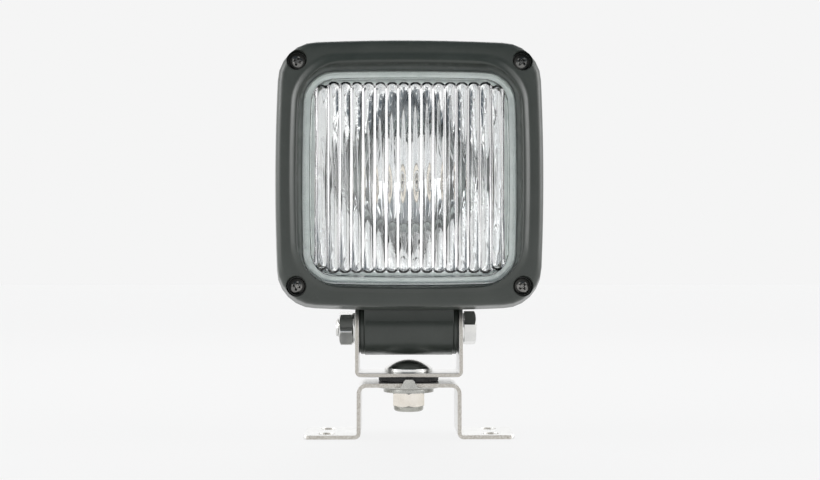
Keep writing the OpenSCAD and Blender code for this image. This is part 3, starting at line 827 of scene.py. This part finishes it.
# Carried-over nodes keep their shape, with softened edges and their own material.
OWN_LOOK = {"locking_disc": "dull_zinc", "flat_washer": "dull_zinc", "bush_left": "head_paint",
            "bush_right": "head_paint"}
EDGE_MM = {"hat_bracket": 0.22, "yoke": 0.22, "locking_disc": 0.18, "flat_washer": 0.18, "washer_left": 0.2,
           "washer_right": 0.2, "bush_left": 0.25, "bush_right": 0.25, "breather_vent": 0.3,
           "pivot_sleeve": 0.2}
for name, obj in nodes.items():
    obj.data.materials.clear()
    obj.data.materials.append(MATERIALS[OWN_LOOK.get(name, SLOT_OF[name])])
    if name in EDGE_MM:
        weld = obj.modifiers.new("weld", "WELD")
        weld.merge_threshold = 0.003 * MM
        mod = obj.modifiers.new("edges", "BEVEL")
        mod.width = EDGE_MM[name] * MM
        mod.segments = 3
        mod.limit_method = "ANGLE"
        mod.angle_limit = math.radians(40)
        mod.harden_normals = True

# ---------------------------------------------------------------- stage

PALE = 0.913


def make_floor():
    mesh = bpy.data.meshes.new("floor")
    s, drop = 12.0, -0.0004
    mesh.from_pydata([(-s, -s, drop), (s, -s, drop), (s, s, drop), (-s, s, drop)], [], [(0, 1, 2, 3)])
    floor = bpy.data.objects.new("floor", mesh)
    bpy.context.scene.collection.objects.link(floor)
    mat, _, shader = new_material("floor_card")
    shader.inputs["Base Color"].default_value = (0.07, 0.07, 0.07, 1)
    shader.inputs["Emission Color"].default_value = (1, 1, 1, 1)
    shader.inputs["Emission Strength"].default_value = 0.825
    shader.inputs["Roughness"].default_value = 0.9
    shader.inputs["Specular IOR Level"].default_value = 0.1
    mesh.materials.append(mat)


def make_world():
    """Pale studio: bright sides and back, a dark ceiling in front, thin gaps between the front panels."""
    world = bpy.data.worlds.new("studio")
    bpy.context.scene.world = world
    world.use_nodes = True
    tree = world.node_tree
    tree.nodes.clear()
    out = add(tree, "ShaderNodeOutputWorld")
    seen = add(tree, "ShaderNodeBackground")
    seen.inputs["Color"].default_value = (PALE, PALE, PALE, 1)
    light = add(tree, "ShaderNodeBackground")
    tex = add(tree, "ShaderNodeTexCoord")
    xyz = add(tree, "ShaderNodeSeparateXYZ")
    tree.links.new(tex.outputs["Generated"], xyz.inputs[0])

    def halved(axis):
        shift = add(tree, "ShaderNodeMath", operation="MULTIPLY_ADD")
        shift.inputs[1].default_value = 0.5
        shift.inputs[2].default_value = 0.5
        tree.links.new(xyz.outputs[axis], shift.inputs[0])
        return shift.outputs[0]

    def times(a, b):
        product = add(tree, "ShaderNodeMath", operation="MULTIPLY")
        tree.links.new(a, product.inputs[0])
        tree.links.new(b, product.inputs[1])
        return product.outputs[0]
    gap, lit = 0.03, 1.0
    left = [(0.0, lit), (0.235, lit), (0.24, gap), (0.265, gap), (0.27, lit),
            (0.335, lit), (0.34, gap), (0.36, gap), (0.365, lit), (0.43, lit), (0.435, gap), (0.445, gap),
            (0.45, lit)]
    bands = ramp(tree, halved("X"), left + [(1 - p, c) for p, c in reversed(left)])
    ahead = ramp(tree, halved("Y"), [(0.50, 1.0), (0.58, 0.0)])
    ceiling = mix_colour(tree, ahead, ramp(tree, halved("Z"), [(0.82, 0.0), (0.88, 1.0)]),
                         ramp(tree, halved("Z"), [(0.54, 0.0), (0.60, 1.0)]))
    middle = ramp(tree, halved("X"), [(0.20, 0.0), (0.30, 1.0), (0.70, 1.0), (0.80, 0.0)])
    behind = ramp(tree, halved("Y"), [(0.50, 0.0), (0.58, 1.0)])
    walls = mix_colour(tree, behind, bands, (0.64, 0.64, 0.64))
    panels = mix_colour(tree, times(ceiling, middle), walls, (0.075, 0.090, 0.105))
    tree.links.new(panels, light.inputs["Color"])
    strength = ramp(tree, halved("X"), [(0.02, 1.0), (0.12, 0.56), (0.88, 0.56), (0.98, 1.0)])
    scaled = add(tree, "ShaderNodeMath", operation="MULTIPLY")
    scaled.inputs[1].default_value = 2.8
    tree.links.new(strength, scaled.inputs[0])
    tree.links.new(scaled.outputs[0], light.inputs["Strength"])
    path = add(tree, "ShaderNodeLightPath")
    mix = add(tree, "ShaderNodeMixShader")
    tree.links.new(path.outputs["Is Camera Ray"], mix.inputs[0])
    tree.links.new(light.outputs[0], mix.inputs[1])
    tree.links.new(seen.outputs[0], mix.inputs[2])
    tree.links.new(mix.outputs[0], out.inputs[0])


def softbox(name, place, target, size, watts):
    light = bpy.data.lights.new(name, "AREA")
    light.shape = "RECTANGLE"
    light.size, light.size_y = size
    light.energy = watts
    obj = bpy.data.objects.new(name, light)
    obj.location = place
    obj.rotation_euler = (Vector(target) - Vector(place)).to_track_quat("-Z", "Y").to_euler()
    bpy.context.scene.collection.objects.link(obj)


LENS_LENGTH = 53.7
CAMERA_TILT, CAMERA_TURN = 1.72, -0.965


def make_camera():
    camera = bpy.data.cameras.new("camera")
    obj = bpy.data.objects.new("camera", camera)
    bpy.context.scene.collection.objects.link(obj)
    camera.lens = LENS_LENGTH
    camera.sensor_width = 36
    camera.clip_start = 0.01
    obj.location = (-0.010, -0.637, 0.082)
    obj.rotation_euler = (math.radians(90 + CAMERA_TILT), 0, math.radians(CAMERA_TURN))
    bpy.context.scene.camera = obj


make_floor()
make_world()
softbox("key", (-0.9, -0.1, 0.5), (0, 0, 0.1), (0.5, 0.5), 2.5)
softbox("fill", (0.9, -0.1, 0.4), (0, 0, 0.1), (0.5, 0.6), 2.0)
softbox("top", (0.0, 0.7, 0.8), (0, 0, 0.1), (0.6, 0.6), 2)
make_camera()
bpy.context.scene.view_settings.view_transform = "Standard"
